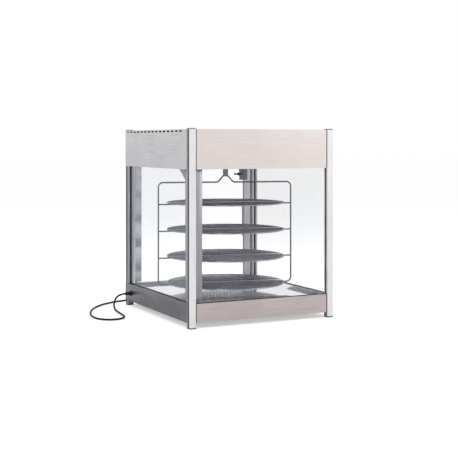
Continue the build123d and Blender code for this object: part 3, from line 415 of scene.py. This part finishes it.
class Model:
    """Small tools for modelling with operators."""

    @staticmethod
    def clear_selection() -> None:
        """Leaves nothing selected."""
        bpy.ops.object.select_all(action="DESELECT")

    @staticmethod
    def pick(objects: list[bpy.types.Object]) -> None:
        """Selects these objects alone and makes the first one active.

        Args:
            objects: What is selected.
        """
        Model.clear_selection()
        for item in objects:
            item.select_set(True)
        bpy.context.view_layer.objects.active = objects[0]

    @staticmethod
    def join(objects: list[bpy.types.Object], name: str) -> bpy.types.Object:
        """Joins objects into one piece whose place is in its mesh.

        Args:
            objects: The pieces to join.
            name: The joined piece's name.

        Returns:
            The joined piece.
        """
        Model.pick(objects)
        if len(objects) > 1:
            bpy.ops.object.join()
        piece = bpy.context.view_layer.objects.active
        bpy.ops.object.transform_apply(location=True, rotation=True, scale=True)
        piece.name = name
        piece.data.name = name
        return piece

    @staticmethod
    def slab(
        low: tuple[float, float, float], high: tuple[float, float, float], rounding: float
    ) -> bpy.types.Object:
        """Makes a block with rounded edges.

        Args:
            low: Its lowest corner.
            high: Its highest corner.
            rounding: The radius of its edges.

        Returns:
            The block.
        """
        Model.clear_selection()
        bpy.ops.mesh.primitive_cube_add(
            size=1.0, location=[(near + far) / 2 for near, far in zip(low, high)]
        )
        block = bpy.context.view_layer.objects.active
        block.scale = [far - near for near, far in zip(low, high)]
        Model.join([block], "slab")
        edges = block.modifiers.new("edges", "BEVEL")
        edges.width = rounding
        edges.segments = 2
        bpy.ops.object.modifier_apply(modifier=edges.name)
        return block

    @staticmethod
    def finish(piece: bpy.types.Object, finish: Finish, body: str, slot: str) -> bpy.types.Object:
        """Smooths, dresses and mounts a piece.

        Args:
            piece: The piece.
            finish: Its surface.
            body: The moving body that it rides on.
            slot: Not used.

        Returns:
            The same piece.
        """
        piece.data.materials.clear()
        piece.data.materials.append(finish.build())
        Model.pick([piece])
        bpy.ops.object.shade_smooth_by_angle(angle=SMOOTH_ANGLE)
        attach(piece, body)
        LOG.info("%s rides on %s", piece.name, body)
        return piece


@dataclass
class Cabinet:
    """Posts, panels, glass, door, drive and controls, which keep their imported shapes."""

    finishes: dict[str, Finish | FloatGlass] = field(
        default_factory=lambda: {
            "front_left_post": ANODISED,
            "front_right_post": ANODISED,
            # Painted shade on the rear posts and the door's right upright, painted light on its
            # left one
            "rear_left_post": ANODISED_PAINTED_SHADE,
            "rear_right_post": ANODISED_PAINTED_SHADE,
            "door_left_stile": ANODISED_PAINTED_LIGHT,
            "door_right_stile": ANODISED_PAINTED_SHADE,
            "post_caps": CAP_PLASTIC,
            "post_feet": MOULDED,
            "slot_strips": RUBBER,
            "glass_gaskets": RUBBER,
            "front_fascia": BRUSHED_FRONT,
            "rear_fascia": BRUSHED_FRONT,
            "left_header_panel": BRUSHED_SIDE,
            "right_header_panel": BRUSHED_SIDE,
            "top_cover": BRUSHED_SIDE,
            "ceiling_pan": BRUSHED_SIDE,
            "front_base_panel": BRUSHED_BASE,
            "rear_base_panel": BRUSHED_BASE,
            # Painted shade on the base's side panels
            "left_base_panel": BRUSHED_PAINTED_SHADE,
            "right_base_panel": BRUSHED_PAINTED_SHADE,
            "deck_tray": POLISHED,
            "bottom_plate": ZINC,
            "deck_risers": ZINC,
            "motor_bridge": ZINC,
            "heater_supports": ZINC,
            "panel_screws": ZINC,
            "strike_plate": ZINC,
            "hinge_pins": ZINC,
            "drive_shaft": ZINC,
            "front_glass": CLEAR_GLASS,
            "door_glass": CLEAR_GLASS,
            "left_side_glass": SIDE_GLASS,
            "right_side_glass": SIDE_GLASS,
            "rack_frame": NICKEL,
            "rack_hub": HUB_ENAMEL,
            "gearmotor": POWDER_BLACK,
            "catch_bracket": POWDER_GREY,
            "door_magnet": RUBBER,
            "thermostat_probe": COPPER,
            "thermostat_body": MOULDED,
            "thermostat_knob": MOULDED,
            "switch_housings": MOULDED,
            "heat_rocker": SWITCH_GLOSS,
            "rotation_rocker": SWITCH_GLOSS,
            "door_handle": MOULDED,
            "fan_housing": MOULDED,
            "fan_wheel": MOULDED,
            "heater_element": HEATER_SHEATH,
            "ceiling_bush": BRASS,
            "plug_blades": BRASS,
            "plug_body": CORD_SHEATH,
            "cord_gland": CORD_SHEATH,
            "terminal_block": STEATITE,
        }
    )

    def dress(self, nodes: dict[str, bpy.types.Object]) -> None:
        """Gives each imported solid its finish.

        Args:
            nodes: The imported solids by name.
        """
        for name, finish in self.finishes.items():
            solid = nodes[name]
            solid.data.materials.clear()
            solid.data.materials.append(finish.build())
            LOG.info("%s is %s", name, finish.name)


@dataclass
class WireShelf:
    """A round shelf of wires welded both ways inside a round rim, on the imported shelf's place."""

    radius: float = 228.5 * MM
    rim_wire: float = 2.5 * MM
    rim_narrowing: float = 0.7
    rim_stretch: float = 1.4
    rim_segments: int = 96
    rim_sides: int = 10
    mesh_wire: float = 1.0 * MM
    mesh_pitch: float = 13.5 * MM
    tie_wire: float = 1.2 * MM
    weld_step: float = 1.6
    tie_rise: float = 0.4
    wire_sides: int = 6
    mesh_turn: float = math.radians(-26.3)
    rung_turn: float = math.radians(-13)

    def wire(self, start: Vector, end: Vector, radius: float) -> bpy.types.Object:
        """Makes one straight wire with closed ends.

        Args:
            start: One end of its axis.
            end: The other end.
            radius: Half its thickness.

        Returns:
            The wire.
        """
        run = end - start
        bpy.ops.mesh.primitive_cylinder_add(
            vertices=self.wire_sides,
            radius=radius,
            depth=run.length,
            end_fill_type="TRIFAN",
            location=(start + end) / 2,
            rotation=run.to_track_quat("Z", "Y").to_euler(),
        )
        return bpy.context.view_layer.objects.active

    def rim(self) -> bpy.types.Object:
        """Makes the rim, a ring of round wire pressed taller than wide.

        Returns:
            The rim, about the origin.
        """
        bpy.ops.mesh.primitive_torus_add(
            major_segments=self.rim_segments,
            minor_segments=self.rim_sides,
            major_radius=self.radius - self.rim_wire * self.rim_narrowing,
            minor_radius=self.rim_wire * self.rim_narrowing,
        )
        rim = bpy.context.view_layer.objects.active
        bpy.ops.object.mode_set(mode="EDIT")
        bpy.ops.mesh.select_all(action="SELECT")
        bpy.ops.transform.resize(value=(1, 1, self.rim_stretch), center_override=(0, 0, 0))
        bpy.ops.object.mode_set(mode="OBJECT")
        return rim

    def build(self) -> bpy.types.Object:
        """Models the mesh in its rim with the tie beneath it, its underside at zero.

        Returns:
            The shelf, about the Z axis.
        """
        Model.clear_selection()
        rim = self.rim()
        rim.location.z = self.rim_wire
        parts = [rim]
        reach = self.radius - self.rim_wire
        count = int(reach / self.mesh_pitch)
        low = self.mesh_wire
        high = low + self.weld_step * self.mesh_wire
        for step in range(-count, count + 1):
            offset = step * self.mesh_pitch
            half = math.sqrt(reach**2 - offset**2)
            across = Vector((half, 0, 0))
            along = Vector((0, half, 0))
            upper = Vector((0, offset, high))
            lower = Vector((offset, 0, low))
            parts.append(self.wire(upper - across, upper + across, self.mesh_wire))
            parts.append(self.wire(lower - along, lower + along, self.mesh_wire))
        under = Vector((0, 0, self.tie_wire))
        along = Vector((0, reach, 0))
        parts.append(self.wire(under - along, under + along, self.tie_wire))
        shelf = Model.join(parts, "wire_shelf")
        shelf.rotation_euler.z = self.mesh_turn
        return Model.join([shelf], "wire_shelf")

    def tie(self) -> bpy.types.Object:
        """Models the tie that is welded on the mesh, above the rung, which carries a painted
        highlight.

        Returns:
            The tie, about the Z axis.
        """
        Model.clear_selection()
        reach = Vector((math.cos(self.rung_turn), math.sin(self.rung_turn), 0))
        reach *= self.radius - self.rim_wire
        mesh_top = (2 + self.weld_step) * self.mesh_wire
        up = Vector((0, 0, mesh_top + self.tie_rise * self.tie_wire))
        return Model.join([self.wire(up - reach, up + reach, self.tie_wire)], "tie")


@dataclass
class Rack:
    """The four wire shelves on the turning frame."""

    shelf_nodes: tuple[str, ...] = ("shelf_1", "shelf_2", "shelf_3", "shelf_4")

    @staticmethod
    def copy(pattern: bpy.types.Object, node: str, name: str) -> bpy.types.Object:
        """Stands a copy of a pattern on a packed shelf's place.

        Args:
            pattern: What is copied.
            node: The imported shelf.
            name: The copy's name.

        Returns:
            The copy.
        """
        low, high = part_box(node)
        Model.pick([pattern])
        bpy.ops.object.duplicate(linked=False)
        copy = bpy.context.view_layer.objects.active
        copy.location = ((low[0] + high[0]) / 2, (low[1] + high[1]) / 2, low[2])
        return Model.join([copy], name)

    def build(self) -> None:
        """Models one shelf and its tie with the painted highlight, and stands copies of both on
        each rung.
        """
        mesh = WireShelf().build()
        bar = WireShelf().tie()
        ties = []
        for number, node in enumerate(self.shelf_nodes, start=1):
            shelf = self.copy(mesh, node, f"mesh_shelf_{number}")
            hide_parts(node)
            Model.finish(shelf, NICKEL_MESH, "rack", "rack_wire")
            ties.append(self.copy(bar, node, f"tie_{number}"))
        # The ties' near-white colour is a painted highlight for the rungs' gleam
        Model.finish(Model.join(ties, "shelf_ties_painted_highlight"), NICKEL_PAINTED_HIGHLIGHT, "rack", "rack_wire")
        for pattern in (mesh, bar):
            bpy.data.objects.remove(pattern, do_unlink=True)


@dataclass
class Trim:
    """The black cover strips on the posts' outer slots, and black strips of painted shadow in the
    joints beside the panels.
    """

    post_face: float = 293.8 * MM
    slot_levels: tuple[tuple[float, float, float], ...] = (
        (-314.5 * MM, 4 * MM, 700 * MM),
        (290.5 * MM, 88 * MM, 557 * MM),
    )
    cover_width: float = 10 * MM
    cover_thickness: float = 0.8 * MM
    panel_end: float = 268.4 * MM
    shadow_strip_width: float = 2.4 * MM
    shadow_strip_thickness: float = 0.7 * MM
    panel_faces: tuple[tuple[float, int], ...] = ((-325 * MM, -1), (301 * MM, 1))
    panel_levels: tuple[tuple[float, float], ...] = ((20 * MM, 87 * MM), (558 * MM, 699 * MM))
    edge_round: float = 0.25 * MM

    def covers(self) -> bpy.types.Object:
        """Makes the covers that snap over the slots.

        Returns:
            All four covers as one piece.
        """
        parts = []
        for side in (-1, 1):
            for middle, low, high in self.slot_levels:
                near = side * self.post_face
                far = side * (self.post_face + self.cover_thickness)
                parts.append(
                    Model.slab(
                        (min(near, far), middle - self.cover_width / 2, low),
                        (max(near, far), middle + self.cover_width / 2, high),
                        self.edge_round,
                    )
                )
        return Model.finish(Model.join(parts, "slot_covers"), RUBBER, "case", "rubber")

    def shadow_strips(self) -> bpy.types.Object:
        """Makes black strips of painted shadow in the joints between the posts and the panels.

        Returns:
            All eight strips as one piece.
        """
        parts = []
        # Painted shadow: black strips where the joints between the posts and the panels lie in
        # shade
        for face, outward in self.panel_faces:
            outer = face + outward * self.shadow_strip_thickness
            for side in (-1, 1):
                end = side * self.panel_end
                inner = side * (self.panel_end - self.shadow_strip_width)
                for low, high in self.panel_levels:
                    parts.append(
                        Model.slab(
                            (min(end, inner), min(face, outer), low),
                            (max(end, inner), max(face, outer), high),
                            self.edge_round,
                        )
                    )
        return Model.finish(Model.join(parts, "painted_joint_shadows"), RUBBER, "case", "rubber")

    def build(self) -> None:
        """Makes both kinds of trim."""
        self.covers()
        self.shadow_strips()


@dataclass
class ProbeSleeve:
    """The dark sleeve on the thermostat's probe, with its nut beside the bracket."""

    sleeve_radius: float = 3.3 * MM
    nut_radius: float = 6.5 * MM
    nut_length: float = 7 * MM
    overlap: float = 0.5 * MM
    sides: int = 24

    def barrel(
        self, start: float, end: float, axis: tuple[float, float], radius: float
    ) -> bpy.types.Object:
        """Makes a round bar along X.

        Args:
            start: Where it starts on X.
            end: Where it ends.
            axis: Its place on Y and Z.
            radius: Its radius.

        Returns:
            The bar.
        """
        bpy.ops.mesh.primitive_cylinder_add(
            vertices=self.sides,
            radius=radius,
            depth=end - start,
            location=((start + end) / 2, *axis),
            rotation=(0, math.pi / 2, 0),
        )
        return bpy.context.view_layer.objects.active

    def build(self) -> bpy.types.Object:
        """Puts the sleeve and the nut on the part of the probe that stands clear.

        Returns:
            The sleeve with its nut.
        """
        low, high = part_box("thermostat_probe")
        clear_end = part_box("catch_bracket")[0][0] - self.overlap
        axis = ((low[1] + high[1]) / 2, (low[2] + high[2]) / 2)
        Model.clear_selection()
        sleeve = self.barrel(low[0] - self.overlap, clear_end, axis, self.sleeve_radius)
        nut = self.barrel(clear_end - self.nut_length, clear_end, axis, self.nut_radius)
        return Model.finish(Model.join([sleeve, nut], "probe_sleeve"), COPPER, "case", "copper")


@dataclass
class CornerDuct:
    """The upright wiring duct: a folded box, its cover plate and its wing under the header."""

    left: float = -266.8 * MM
    front: float = -300 * MM
    width: float = 34.6 * MM
    depth: float = 73 * MM
    low: float = 77.2 * MM
    high: float = 561.8 * MM
    fold_radius: float = 2 * MM
    plate_inset: float = 5 * MM
    plate_thickness: float = 1 * MM
    plate_lift: float = 12 * MM
    plate_drop: float = 3 * MM
    plate_round: float = MM / 3
    wing_reach: float = 60 * MM
    wing_drop: float = 43 * MM
    wing_thickness: float = 1 * MM

    def wing(self) -> bpy.types.Object:
        """Makes the three-cornered wing behind the box.

        Returns:
            The wing.
        """
        back = self.front + self.depth
        corners = (
            (self.left, back - self.fold_radius, self.high),
            (self.left, back + self.wing_reach, self.high),
            (self.left, back - self.fold_radius, self.high - self.wing_drop),
        )
        bpy.ops.mesh.primitive_circle_add(vertices=3, radius=1.0, fill_type="NGON")
        wing = bpy.context.view_layer.objects.active
        for vertex, corner in zip(wing.data.vertices, corners):
            vertex.co = corner
        wall = wing.modifiers.new("wall", "SOLIDIFY")
        wall.thickness = self.wing_thickness
        wall.offset = 0
        Model.pick([wing])
        bpy.ops.object.modifier_apply(modifier=wall.name)
        wing.location.x = self.wing_thickness / 2
        return wing

    def build(self) -> bpy.types.Object:
        """Joins the box, its plate and the wing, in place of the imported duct.

        Returns:
            The duct.
        """
        right = self.left + self.width
        box = Model.slab(
            (self.left, self.front, self.low),
            (right, self.front + self.depth, self.high),
            self.fold_radius,
        )
        plate = Model.slab(
            (
                self.left + self.plate_inset,
                self.front - self.plate_thickness,
                self.low + self.plate_lift,
            ),
            (
                right - self.plate_inset,
                self.front + self.plate_thickness,
                self.high - self.plate_drop,
            ),
            self.plate_round,
        )
        Model.clear_selection()
        duct = Model.join([box, plate, self.wing()], "corner_duct")
        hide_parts("wiring_duct")
        return Model.finish(duct, BRUSHED_UPRIGHT, "case", "stainless")


@dataclass
class Lead:
    """The mains lead: out of its gland, round on the counter, and coiled behind the case.

    The route's points are the source's. Those of the first stretch lie up to 15 mm nearer the arc
    that the photograph shows.
    """

    diameter: float = 7.5 * MM
    coil_radius: float = 44 * MM
    turn_spacing: float = 9.5 * MM
    layer_spacing: float = 8.2 * MM
    half_turns: int = 2
    points_per_half_turn: int = 7
    band_width: float = 6 * MM
    band_thickness: float = 0.9 * MM
    band_slack: float = 1.4 * MM
    band_sink: float = 0.75 * MM
    band_sides: int = 40
    round_steps: int = 4
    run_steps: int = 8
    route: tuple[tuple[float, float, float], ...] = (
        (-0.321, 0.238, 0.053),
        (-0.344, 0.236, 0.052),
        (-0.368, 0.222, 0.039),
        (-0.385, 0.194, 0.020),
        (-0.393, 0.158, 0.006),
        (-0.395, 0.115, 0.004),
        (-0.401, 0.070, 0.004),
        (-0.404, 0.030, 0.004),
        (-0.416, -0.010, 0.004),
        (-0.444, -0.036, 0.004),
        (-0.482, -0.036, 0.004),
        (-0.510, -0.008, 0.004),
        (-0.519, 0.032, 0.004),
        (-0.514, 0.084, 0.004),
        (-0.500, 0.138, 0.004),
        (-0.479, 0.190, 0.004),
        (-0.451, 0.241, 0.004),
        (-0.416, 0.288, 0.004),
        (-0.374, 0.328, 0.004),
        (-0.324, 0.359, 0.004),
        (-0.267, 0.379, 0.004),
        (-0.208, 0.388, 0.004),
        (-0.150, 0.389, 0.004),
        (-0.102, 0.386, 0.004),
        (-0.0675, 0.386, 0.004),
    )

    def centre(self) -> Vector:
        """Gives the coil's centre, on the level of its lower layer."""
        return Vector(self.route[-1]) + Vector((self.diameter, self.coil_radius, 0))

    def half_turn(
        self, start: float, end: float, side: int, low: float, high: float
    ) -> list[Vector]:
        """Gives the points of a half turn, whose polygon the spline stays within.

        Args:
            start: The radius where it starts.
            end: The radius where it ends.
            side: 1 or -1, the side of the coil on which it starts.
            low: Its level at the start.
            high: Its level at the end.

        Returns:
            The points, in metres.
        """
        count = self.points_per_half_turn
        swell = 1 / math.cos(math.pi / (2 * count))
        points = []
        for step in range(count):
            share = (step + 0.5) / count
            angle = math.pi * share
            radius = (start + (end - start) * share) * swell
            across = side * math.cos(angle) * radius
            along = side * math.sin(angle) * radius
            level = low + (high - low) * share
            points.append(self.centre() + Vector((along, -across, level)))
        return points

    def coil(self) -> list[Vector]:
        """Winds the coil: in on the lower layer, up, and out on the upper one.

        Returns:
            Its points, up to the plug.
        """
        radii = [
            self.coil_radius - step * self.turn_spacing / 2 for step in range(self.half_turns + 1)
        ]
        points: list[Vector] = []
        side = 1
        for outer, inner in zip(radii, radii[1:]):
            points += self.half_turn(outer, inner, side, 0, 0)
            side = -side
        points += self.half_turn(radii[-1], radii[-1], side, 0, self.layer_spacing)
        side = -side
        for inner, outer in zip(radii[:0:-1], radii[-2::-1]):
            points += self.half_turn(inner, outer, side, self.layer_spacing, self.layer_spacing)
            side = -side
        end = self.centre() + Vector((0, self.coil_radius, self.layer_spacing))
        return [*points, end, end - Vector((self.diameter, 0, 0))]

    def build(self) -> bpy.types.Object:
        """Returns:
            The lead.
        """
        points = [Vector(point) for point in self.route] + self.coil()
        curve = bpy.data.curves.new("mains_lead", "CURVE")
        curve.dimensions = "3D"
        curve.bevel_depth = self.diameter / 2
        curve.bevel_resolution = self.round_steps
        curve.resolution_u = self.run_steps
        curve.use_fill_caps = True
        spline = curve.splines.new("NURBS")
        spline.points.add(len(points) - 1)
        for place, point in zip(spline.points, points):
            place.co = (*point, 1)
        spline.order_u = 3
        spline.use_endpoint_u = True
        lead = bpy.data.objects.new("mains_lead", curve)
        bpy.context.collection.objects.link(lead)
        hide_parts("power_cord", "cord_coil")
        curve.materials.append(CORD_SHEATH.build())
        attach(lead, "case")
        LOG.info("%s rides on %s", lead.name, "case")
        self.tie()
        return lead

    def tie(self) -> bpy.types.Object:
        """Makes the band that holds the coil's turns together.

        Returns:
            The band, round the turns on the side away from the case.
        """
        turns_wide = self.diameter + self.half_turns * self.turn_spacing / 2
        middle = self.centre() + Vector(
            (self.coil_radius - self.half_turns * self.turn_spacing / 4, 0, self.layer_spacing / 2)
        )
        bpy.ops.mesh.primitive_cylinder_add(
            vertices=self.band_sides,
            radius=1.0,
            depth=self.band_width,
            end_fill_type="NOTHING",
            location=middle,
            rotation=(math.pi / 2, 0, 0),
        )
        band = bpy.context.view_layer.objects.active
        band.scale = (
            turns_wide / 2 + self.band_slack,
            (self.layer_spacing + self.diameter) / 2 - self.band_sink,
            1,
        )
        band = Model.join([band], "coil_tie")
        wall = band.modifiers.new("wall", "SOLIDIFY")
        wall.thickness = self.band_thickness
        wall.offset = 1
        Model.pick([band])
        bpy.ops.object.modifier_apply(modifier=wall.name)
        return Model.finish(band, CORD_SHEATH, "case", "rubber")


@dataclass(frozen=True)
class SoftLight:
    """A square soft light.

    Attributes:
        name: Its name.
        place: Where it stands.
        side: The length of its side.
        power: Its power in watts.
    """

    name: str
    place: tuple[float, float, float]
    side: float
    power: float


@dataclass
class Studio:
    """Camera, floor and soft lights, as in the photograph."""

    camera_place: tuple[float, float, float] = (-1.76195, -3.6045, 0.653)
    camera_turn: float = math.radians(-26.32)
    focal_px: float = 1029.14
    horizon_px: float = 142.43
    frame_px: float = 458.0
    sensor_mm: float = 36.0
    lights: tuple[SoftLight, ...] = (
        SoftLight("key_light", (-2.2, -2.4, 2.6), 2.2, 46),
        SoftLight("fill_light", (2.6, -2.0, 1.8), 2.4, 22),
        SoftLight("top_light", (0.2, 0.6, 3.0), 2.4, 26),
    )
    lit_point: tuple[float, float, float] = (0, 0, 0.35)
    soft_strength: float = 0.55
    white_strength: float = 1.0
    floor_side: float = 60
    floor_level: float = -0.5 * MM
    floor_colour: str = "#f2f2f2"
    floor_roughness: float = 0.9
    floor_lift: float = 0.45

    def camera(self) -> None:
        """Sets the camera that was fitted to the case's corners."""
        lens = bpy.data.cameras.new("photo_camera")
        lens.sensor_width = self.sensor_mm
        lens.lens = self.focal_px / self.frame_px * self.sensor_mm
        lens.shift_y = (self.horizon_px - self.frame_px / 2) / self.frame_px
        camera = bpy.data.objects.new("photo_camera", lens)
        camera.location = self.camera_place
        camera.rotation_euler = (math.pi / 2, 0, self.camera_turn)
        bpy.context.collection.objects.link(camera)
        bpy.context.scene.camera = camera

    def lamp(self, light: SoftLight) -> None:
        """Hangs a soft light that faces the middle of the case.

        Args:
            light: The light's place, size and power.
        """
        source = bpy.data.lights.new(light.name, "AREA")
        source.shape = "SQUARE"
        source.size = light.side
        source.energy = light.power
        lamp = bpy.data.objects.new(light.name, source)
        lamp.location = light.place
        beam = Vector(self.lit_point) - Vector(light.place)
        lamp.rotation_euler = beam.to_track_quat("-Z", "Y").to_euler()
        bpy.context.collection.objects.link(lamp)

    def world(self) -> None:
        """Lights from all round, white where the camera, gloss and glass see it."""
        world = bpy.data.worlds.new("studio")
        world.use_nodes = True
        bpy.context.scene.world = world
        tree = world.node_tree
        tree.nodes.clear()
        rays = add_node(tree, "ShaderNodeLightPath")
        seen = rays.outputs["Is Camera Ray"]
        for other in ("Is Glossy Ray", "Is Transmission Ray"):
            seen = add_node(
                tree, "ShaderNodeMath", {"operation": "MAXIMUM"}, {0: seen, 1: rays.outputs[other]}
            ).outputs["Value"]
        soft, white = (
            add_node(
                tree, "ShaderNodeBackground", {"Color": linear("#ffffff"), "Strength": strength}
            ).outputs["Background"]
            for strength in (self.soft_strength, self.white_strength)
        )
        both = add_node(
            tree, "ShaderNodeMixShader", {}, {0: seen, 1: soft, 2: white}
        ).outputs["Shader"]
        add_node(tree, "ShaderNodeOutputWorld", {}, {"Surface": both})

    def floor(self) -> None:
        """Lays a pale floor that keeps a faint shadow."""
        Model.clear_selection()
        bpy.ops.mesh.primitive_plane_add(
            size=self.floor_side, location=(0, 0, self.floor_level)
        )
        floor = bpy.context.view_layer.objects.active
        floor.name = "studio_floor"
        material, tree = empty_material("white_sweep")
        rays = add_node(tree, "ShaderNodeLightPath")
        lift = add_node(
            tree,
            "ShaderNodeMapRange",
            {"To Min": 0.0, "To Max": self.floor_lift},
            {"Value": rays.outputs["Is Camera Ray"]},
        ).outputs["Result"]
        paper = add_node(
            tree,
            "ShaderNodeBsdfPrincipled",
            {
                "Base Color": linear(self.floor_colour),
                "Roughness": self.floor_roughness,
                "Emission Color": linear("#ffffff"),
            },
            {"Emission Strength": lift},
        ).outputs["BSDF"]
        add_node(tree, "ShaderNodeOutputMaterial", {}, {"Surface": paper})
        floor.data.materials.append(material)

    def build(self) -> None:
        """Sets up the whole studio."""
        self.camera()
        self.world()
        self.floor()
        for light in self.lights:
            self.lamp(light)
        bpy.context.scene.view_settings.view_transform = "Standard"


def main() -> None:
    """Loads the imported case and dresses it."""
    logging.basicConfig(level=logging.INFO, format="%(message)s")
    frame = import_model()
    nodes = {name: bpy.data.objects[name] for name in frame["nodes"]}
    Studio().build()
    Cabinet().dress(nodes)
    Lead().build()
    Rack().build()
    CornerDuct().build()
    Trim().build()
    ProbeSleeve().build()


if __name__ == "__main__":
    main()
